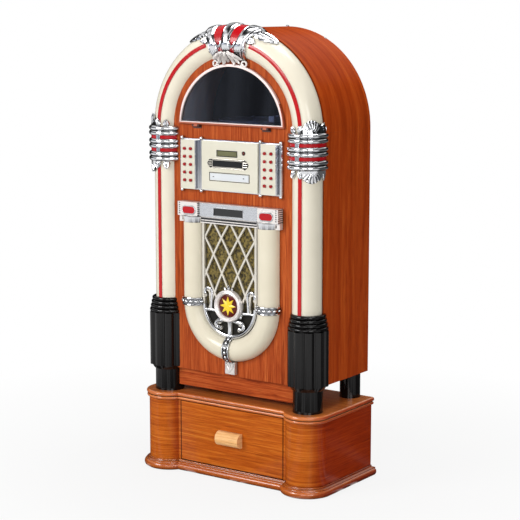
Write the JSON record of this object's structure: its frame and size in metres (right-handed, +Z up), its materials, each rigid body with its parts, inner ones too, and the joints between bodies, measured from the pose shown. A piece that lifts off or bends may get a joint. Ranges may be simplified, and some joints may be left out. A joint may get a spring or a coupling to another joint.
{
  "type": "jukebox record player",
  "caption": "Arched jukebox record player with columns, control panel, disc tray, lattice speaker grille and tilting window, standing on a drawer base.",
  "frame": {"origin": "on the floor under the middle of the base", "axes": "+Z up, the front faces -Y, +X to the right seen from the front"},
  "size_m": [0.65, 0.34, 1.316],
  "materials": {
    "cabinet_wood": "red-brown lacquered veneer",
    "base_wood": "orange-brown lacquered wood",
    "pale_wood": "clear-finished pale wood",
    "back_board": "dark hardboard",
    "cream_plastic": "glossy moulded",
    "red_plastic": "glossy moulded",
    "black_plastic": "glossy moulded",
    "chrome": "bright plated",
    "black_metal": "satin black",
    "smoked_acrylic": "smoked clear",
    "display_plastic": "dark display window",
    "circuit_board": "solder-resist green",
    "white_plastic": "moulded",
    "grey_metal": "plain",
    "medallion_enamel": "enamelled",
    "speaker_fabric": "woven",
    "platter_metal": "dark",
    "arm_metal": "polished"
  },
  "bodies": {
    "cabinet": {"cabinet_carcass": "cabinet_wood", "front_panel": "cabinet_wood", "kick_rail": "cabinet_wood", "base_skirt": "base_wood", "base_carcass": "base_wood", "base_top": "base_wood", "back_panel": "back_board", "column_tubes": "cream_plastic", "arch_tube": "cream_plastic", "u_tube": "cream_plastic", "control_fascia": "cream_plastic", "button_boxes": "cream_plastic", "red_stripes": "red_plastic", "lamp_lenses": "red_plastic", "posts": "black_plastic", "front_collars": "black_plastic", "side_clasps": "chrome", "crown": "chrome", "control_frame": "chrome", "header_bar": "chrome", "u_bands": "chrome", "grille": "chrome", "window_hinges": "black_metal", "speaker_driver": "black_metal", "turntable_deck": "black_metal", "display_lens": "display_plastic", "switch_boards": "circuit_board", "disc_loader": "grey_metal", "motor_unit": "grey_metal", "amplifier": "grey_metal", "medallion": "medallion_enamel", "speaker_cloth": "speaker_fabric"},
    "drawer": {"drawer_front": "base_wood", "drawer_box": "pale_wood", "drawer_pull": "pale_wood"},
    "window": {"window_frame": "chrome", "window_pane": "smoked_acrylic"},
    "tray": {"disc_tray": "white_plastic"},
    "platter": {"platter": "platter_metal"},
    "tonearm": {"tonearm": "arm_metal"},
    "button_01": {"button_01": "red_plastic"},
    "button_02": {"button_02": "red_plastic"},
    "button_03": {"button_03": "red_plastic"},
    "button_04": {"button_04": "red_plastic"},
    "button_05": {"button_05": "red_plastic"},
    "button_06": {"button_06": "red_plastic"},
    "button_07": {"button_07": "red_plastic"},
    "button_08": {"button_08": "red_plastic"},
    "button_09": {"button_09": "red_plastic"},
    "button_10": {"button_10": "red_plastic"},
    "button_11": {"button_11": "red_plastic"},
    "button_12": {"button_12": "red_plastic"},
    "button_13": {"button_13": "red_plastic"},
    "button_14": {"button_14": "red_plastic"},
    "button_15": {"button_15": "red_plastic"},
    "button_16": {"button_16": "red_plastic"},
    "button_17": {"button_17": "red_plastic"},
    "button_18": {"button_18": "red_plastic"},
    "button_19": {"button_19": "red_plastic"},
    "button_20": {"button_20": "red_plastic"}
  },
  "joints": [
    {"name": "drawer_slide", "type": "slide", "parent": "cabinet", "child": "drawer", "axis": [0, -1, 0], "range_m": [0, 0.19]},
    {"name": "window_tilt", "type": "hinge", "parent": "cabinet", "child": "window", "pos_m": [0, -0.122, 1.025], "axis": [1, 0, 0], "range_deg": [0, 80]},
    {"name": "tray_slide", "type": "slide", "parent": "cabinet", "child": "tray", "axis": [0, -1, 0], "range_m": [0, 0.14]},
    {"name": "platter_spin", "type": "hinge", "parent": "cabinet", "child": "platter", "pos_m": [-0.03, 0.037, 1], "axis": [0, 0, 1], "continuous": true},
    {"name": "arm_swing", "type": "hinge", "parent": "cabinet", "child": "tonearm", "pos_m": [0.11, 0.102, 1], "axis": [0, 0, -1], "range_deg": [0, 46]},
    {"name": "button_01_press", "type": "slide", "parent": "cabinet", "child": "button_01", "axis": [0, 1, 0], "range_m": [0, 0.0025], "stiffness_N_per_m": 400},
    {"name": "button_02_press", "type": "slide", "parent": "cabinet", "child": "button_02", "axis": [0, 1, 0], "range_m": [0, 0.0025], "stiffness_N_per_m": 400},
    {"name": "button_03_press", "type": "slide", "parent": "cabinet", "child": "button_03", "axis": [0, 1, 0], "range_m": [0, 0.0025], "stiffness_N_per_m": 400},
    {"name": "button_04_press", "type": "slide", "parent": "cabinet", "child": "button_04", "axis": [0, 1, 0], "range_m": [0, 0.0025], "stiffness_N_per_m": 400},
    {"name": "button_05_press", "type": "slide", "parent": "cabinet", "child": "button_05", "axis": [0, 1, 0], "range_m": [0, 0.0025], "stiffness_N_per_m": 400},
    {"name": "button_06_press", "type": "slide", "parent": "cabinet", "child": "button_06", "axis": [0, 1, 0], "range_m": [0, 0.0025], "stiffness_N_per_m": 400},
    {"name": "button_07_press", "type": "slide", "parent": "cabinet", "child": "button_07", "axis": [0, 1, 0], "range_m": [0, 0.0025], "stiffness_N_per_m": 400},
    {"name": "button_08_press", "type": "slide", "parent": "cabinet", "child": "button_08", "axis": [0, 1, 0], "range_m": [0, 0.0025], "stiffness_N_per_m": 400},
    {"name": "button_09_press", "type": "slide", "parent": "cabinet", "child": "button_09", "axis": [0, 1, 0], "range_m": [0, 0.0025], "stiffness_N_per_m": 400},
    {"name": "button_10_press", "type": "slide", "parent": "cabinet", "child": "button_10", "axis": [0, 1, 0], "range_m": [0, 0.0025], "stiffness_N_per_m": 400},
    {"name": "button_11_press", "type": "slide", "parent": "cabinet", "child": "button_11", "axis": [0, 1, 0], "range_m": [0, 0.0025], "stiffness_N_per_m": 400},
    {"name": "button_12_press", "type": "slide", "parent": "cabinet", "child": "button_12", "axis": [0, 1, 0], "range_m": [0, 0.0025], "stiffness_N_per_m": 400},
    {"name": "button_13_press", "type": "slide", "parent": "cabinet", "child": "button_13", "axis": [0, 1, 0], "range_m": [0, 0.0025], "stiffness_N_per_m": 400},
    {"name": "button_14_press", "type": "slide", "parent": "cabinet", "child": "button_14", "axis": [0, 1, 0], "range_m": [0, 0.0025], "stiffness_N_per_m": 400},
    {"name": "button_15_press", "type": "slide", "parent": "cabinet", "child": "button_15", "axis": [0, 1, 0], "range_m": [0, 0.0025], "stiffness_N_per_m": 400},
    {"name": "button_16_press", "type": "slide", "parent": "cabinet", "child": "button_16", "axis": [0, 1, 0], "range_m": [0, 0.0025], "stiffness_N_per_m": 400},
    {"name": "button_17_press", "type": "slide", "parent": "cabinet", "child": "button_17", "axis": [0, 1, 0], "range_m": [0, 0.0025], "stiffness_N_per_m": 400},
    {"name": "button_18_press", "type": "slide", "parent": "cabinet", "child": "button_18", "axis": [0, 1, 0], "range_m": [0, 0.0025], "stiffness_N_per_m": 400},
    {"name": "button_19_press", "type": "slide", "parent": "cabinet", "child": "button_19", "axis": [0, 1, 0], "range_m": [0, 0.0025], "stiffness_N_per_m": 400},
    {"name": "button_20_press", "type": "slide", "parent": "cabinet", "child": "button_20", "axis": [0, 1, 0], "range_m": [0, 0.0025], "stiffness_N_per_m": 400}
  ]
}
